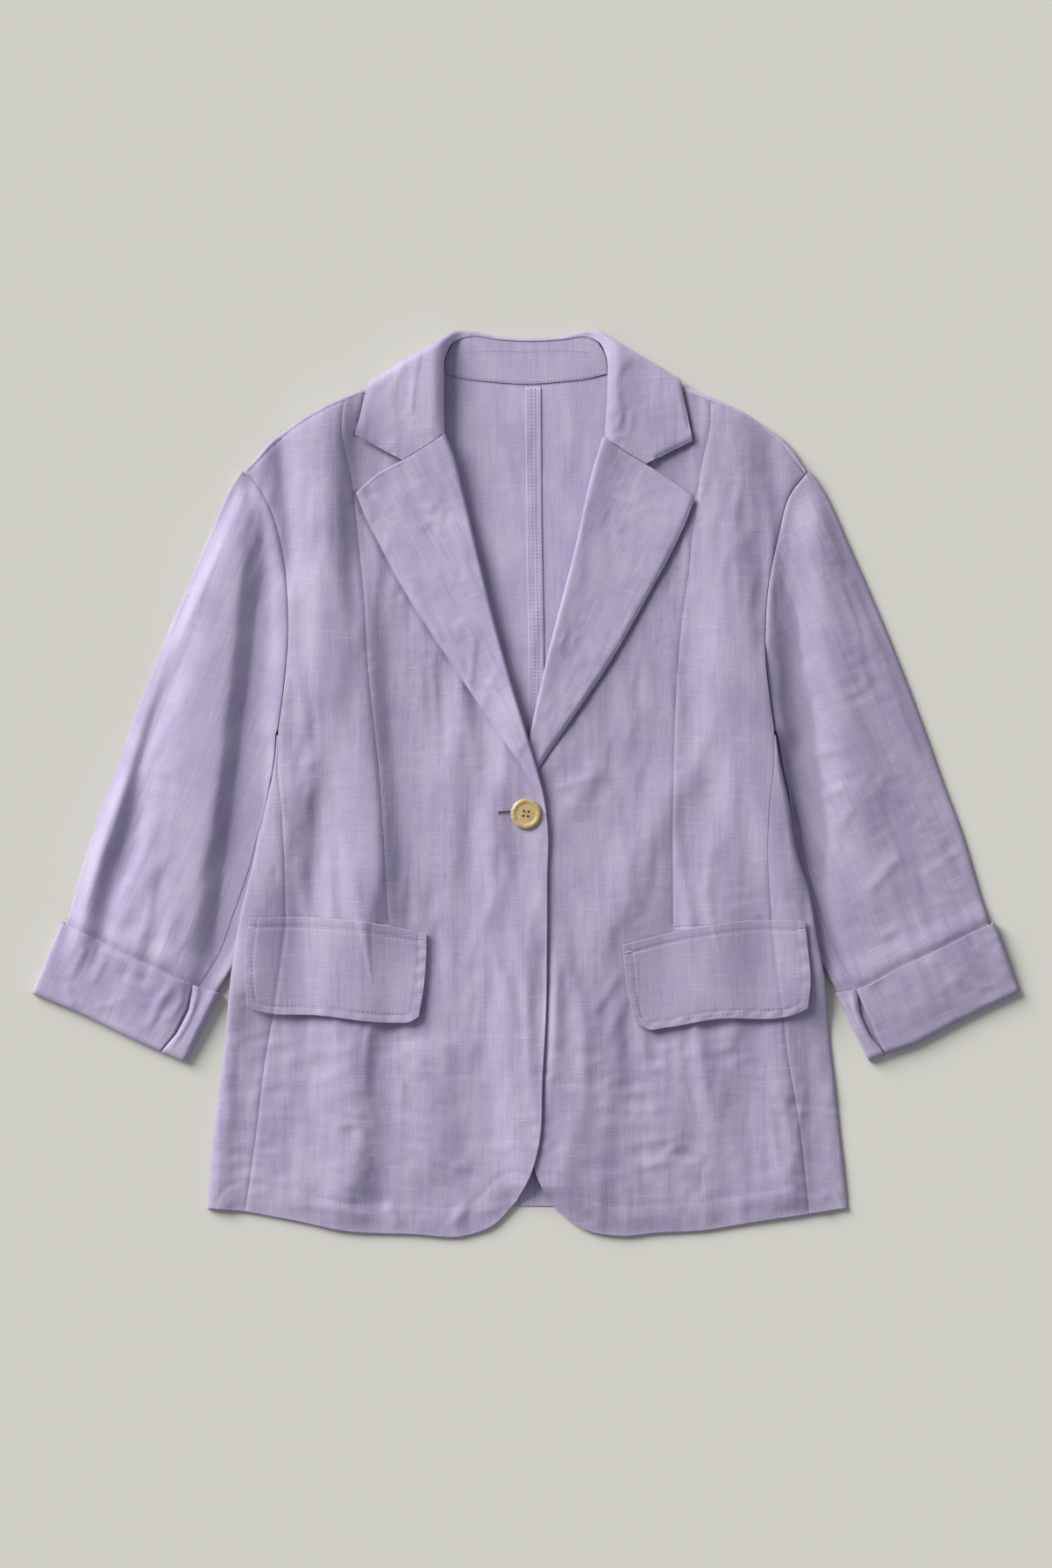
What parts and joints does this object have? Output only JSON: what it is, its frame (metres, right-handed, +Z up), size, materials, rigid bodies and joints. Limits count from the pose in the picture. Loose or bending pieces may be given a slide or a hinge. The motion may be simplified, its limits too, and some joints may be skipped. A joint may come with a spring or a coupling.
{
  "type": "single breasted blazer",
  "caption": "Relaxed linen single breasted blazer with notch lapels, flap pockets and turned-up cuffs, buttoned and lying flat on its back.",
  "frame": {"origin": "middle of the blazer's outline, on the surface that it lies on", "axes": "+X across the blazer from cuff to cuff, +Y from hem to collar, +Z up out of the front"},
  "size_m": [0.7989, 0.7324, 0.0113],
  "materials": {
    "linen": "soft plain-weave linen, lavender, matt",
    "horn": "tan and brown mottled, horn-like, half gloss"
  },
  "bodies": {
    "root": {"back_left": "linen", "back_right": "linen", "side_left": "linen", "side_right": "linen", "side_front_left": "linen", "side_front_right": "linen", "front_left": "linen", "front_right": "linen", "lapel_left": "linen", "lapel_right": "linen", "collar_stand": "linen", "collar": "linen", "sleeve_top_left": "linen", "sleeve_top_right": "linen", "sleeve_under_left": "linen", "sleeve_under_right": "linen", "cuff_left": "linen", "cuff_right": "linen", "flap_left": "linen", "flap_right": "linen", "button": "horn"}
  },
  "joints": []
}
